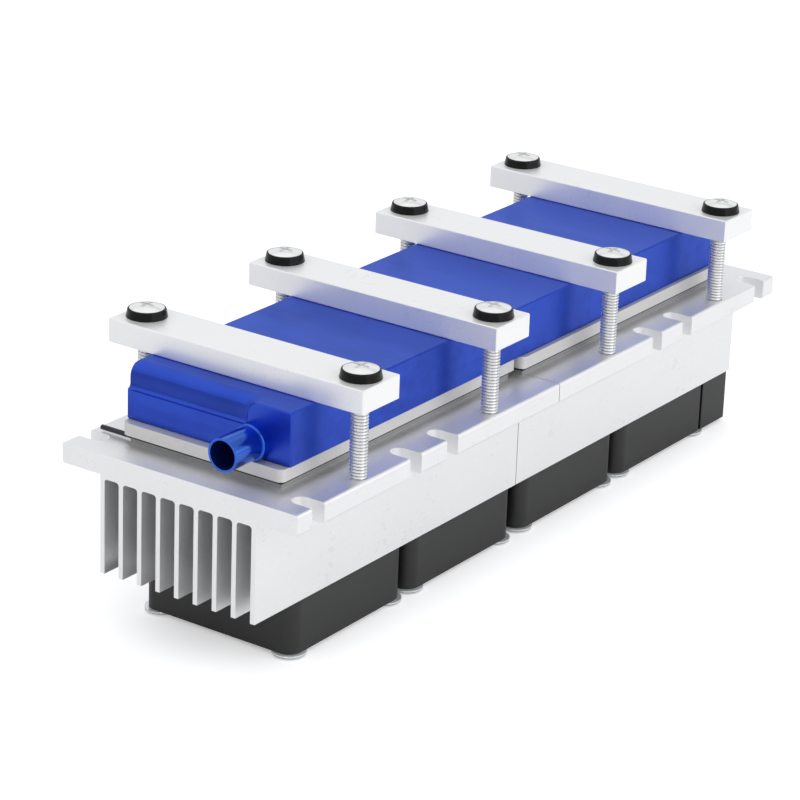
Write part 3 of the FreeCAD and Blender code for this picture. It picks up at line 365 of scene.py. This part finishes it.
THREAD_PITCH = 1.4 * MM
THREAD_DEPTH = 0.75 * MM
THREAD_SIDES = 28
RINGS_PER_PITCH = 8
FLANK_STEEPNESS = 1.25
# Depth share below which the thread faces carry painted shade.
GROOVE_SHADE_SHARE = 0.7
TIP_LENGTH = 1.0 * MM
TIP_SHARE = 0.75
SHANK_CUT = 2.0 * MM
THREAD_END = 3.0 * MM


def thread_radius(outer, turn):
    """Radius of the thread at a share of a turn: flanks up to a narrow crest."""
    ridge = abs((turn % 1.0) * 2.0 - 1.0)
    return outer - THREAD_DEPTH * (1.0 - min(1.0, ridge * FLANK_STEEPNESS))


def add_thread(mesh, x, y, low, high, outer):
    """Threaded rod along Z with a narrower tip, closed at both ends."""
    count = max(2, round((high - low) / THREAD_PITCH * RINGS_PER_PITCH))
    groove_shade = outer - GROOVE_SHADE_SHARE * THREAD_DEPTH
    rings = []
    for step in range(count + 1):
        z = low + (high - low) * step / count
        taper = min(1.0, TIP_SHARE + (z - low) / TIP_LENGTH * (1.0 - TIP_SHARE))
        ring = []
        for side in range(THREAD_SIDES):
            angle = 2 * math.pi * side / THREAD_SIDES
            radius = thread_radius(outer, z / THREAD_PITCH + side / THREAD_SIDES) * taper
            place = (x + radius * math.cos(angle), y + radius * math.sin(angle), z)
            ring.append(mesh.verts.new(place))
        rings.append(ring)
    for lower, upper in zip(rings, rings[1:]):
        for side in range(THREAD_SIDES):
            after = (side + 1) % THREAD_SIDES
            face = mesh.faces.new((lower[side], lower[after], upper[after], upper[side]))
            middle = face.calc_center_median()
            # Faces deep in the grooves take the darker steel: painted shade.
            face.material_index = int(math.hypot(middle.x - x, middle.y - y) < groove_shade)
    mesh.faces.new(list(reversed(rings[0])))
    mesh.faces.new(rings[-1])


def screw_offset(mesh):
    """Distance of the screws' axes from the middle of the module."""
    sides = [v.co.y for v in mesh.verts if v.co.y > 0]
    return (min(sides) + max(sides)) / 2


def threaded_screws(number):
    """Heads of the two screws as they are, on threaded shanks."""
    name = f"clamp_screws_{number}"
    washer_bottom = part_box(f"cup_washers_{number}")[0].z
    low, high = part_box(name)
    x = (low.x + high.x) / 2
    mesh = bmesh.new()
    mesh.from_mesh(nodes[name].data)
    y = screw_offset(mesh)
    shank = [v for v in mesh.verts if v.co.z < washer_bottom + SHANK_CUT]
    outer = max(math.hypot(v.co.x - x, abs(v.co.y) - y) for v in shank)
    bmesh.ops.delete(mesh, geom=shank, context="VERTS")
    for side in (-1, 1):
        add_thread(mesh, x, side * y, low.z, washer_bottom + THREAD_END, outer)
    data = bpy.data.meshes.new(f"{name}_threaded")
    mesh.to_mesh(data)
    mesh.free()
    piece = bpy.data.objects.new(f"{name}_threaded", data)
    bpy.context.scene.collection.objects.link(piece)
    data.materials.append(MATERIALS["bright"])
    # Second slot: painted shade in the thread grooves.
    data.materials.append(MATERIALS["groove_shade"])
    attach(piece, "module")
    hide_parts(name)


# Stage: floor, lights and world

def camera_ray_mix(tree, for_camera, for_rest):
    """Mix two closures: what the camera sees, also through glass, and what lights the object."""
    path = tree.nodes.new("ShaderNodeLightPath")
    seen = tree.nodes.new("ShaderNodeMath")
    seen.operation = "MAXIMUM"
    tree.links.new(path.outputs["Is Camera Ray"], seen.inputs[0])
    tree.links.new(path.outputs["Is Transmission Ray"], seen.inputs[1])
    mix = tree.nodes.new("ShaderNodeMixShader")
    tree.links.new(seen.outputs[0], mix.inputs["Fac"])
    tree.links.new(for_rest, mix.inputs[1])
    tree.links.new(for_camera, mix.inputs[2])
    return mix.outputs[0]


FLOOR_SIDE = 12.0
FLOOR_TONE = (0.95, 0.95, 0.95, 1)
FLOOR_GLOW = 0.36
SKY_TONE = (0.96, 0.97, 1.0, 1)
SKY_STRENGTH = 0.64
WHITE = (1, 1, 1, 1)


def make_floor():
    """Pale floor that keeps the shadow, lifted to white for the camera."""
    mesh = bmesh.new()
    bmesh.ops.create_grid(mesh, x_segments=1, y_segments=1, size=FLOOR_SIDE / 2)
    data = bpy.data.meshes.new("floor")
    mesh.to_mesh(data)
    mesh.free()
    floor = bpy.data.objects.new("floor", data)
    bpy.context.scene.collection.objects.link(floor)
    material, tree, shader = new_material("floor_white")
    set_inputs(shader, Base_Color=FLOOR_TONE, Roughness=0.9, Specular_IOR_Level=0.0)
    glow = tree.nodes.new("ShaderNodeEmission")
    glow.inputs["Strength"].default_value = FLOOR_GLOW
    both = tree.nodes.new("ShaderNodeAddShader")
    tree.links.new(shader.outputs[0], both.inputs[0])
    tree.links.new(glow.outputs[0], both.inputs[1])
    output = tree.nodes["Material Output"]
    tree.links.new(camera_ray_mix(tree, both.outputs[0], shader.outputs[0]), output.inputs["Surface"])
    data.materials.append(material)


def make_world():
    """White surroundings for the camera, softer light on the object."""
    world = bpy.data.worlds.new("studio")
    bpy.context.scene.world = world
    world.use_nodes = True
    tree = world.node_tree
    light = tree.nodes["Background"]
    set_inputs(light, Color=SKY_TONE, Strength=SKY_STRENGTH)
    white = tree.nodes.new("ShaderNodeBackground")
    set_inputs(white, Color=WHITE, Strength=1.0)
    output = tree.nodes["World Output"]
    tree.links.new(camera_ray_mix(tree, white.outputs[0], light.outputs[0]), output.inputs["Surface"])


def area_light(name, place, target, size, power):
    """White soft box that faces a point and doesn't show in the picture."""
    data = bpy.data.lights.new(name, "AREA")
    data.shape = "RECTANGLE"
    data.size, data.size_y = size
    data.energy = power
    light = bpy.data.objects.new(name, data)
    light.location = place
    light.visible_camera = False
    light.rotation_mode = "QUATERNION"
    light.rotation_quaternion = (Vector(target) - Vector(place)).to_track_quat("-Z", "Y")
    bpy.context.scene.collection.objects.link(light)


def make_lights():
    """Large soft boxes above and on the right, with weak ones at the inlet end and on the far side."""
    middle = (0.0, 0.0, 0.06)
    area_light("top_box", (-0.2, 0.3, 1.6), middle, (3.2, 2.8), 10.0)
    area_light("side_box", (0.3, -1.9, 0.9), middle, (3.0, 1.6), 18.0)
    area_light("end_box", (-1.7, 0.5, 0.8), middle, (1.0, 1.0), 1.5)
    area_light("far_box", (1.75, 1.2, 0.95), middle, (2.4, 1.2), 2.2)


BARS = 4

make_camera()
dress_nodes()
for number in range(1, BARS + 1):
    threaded_screws(number)
make_floor()
make_world()
make_lights()
bpy.context.scene.view_settings.view_transform = "Standard"
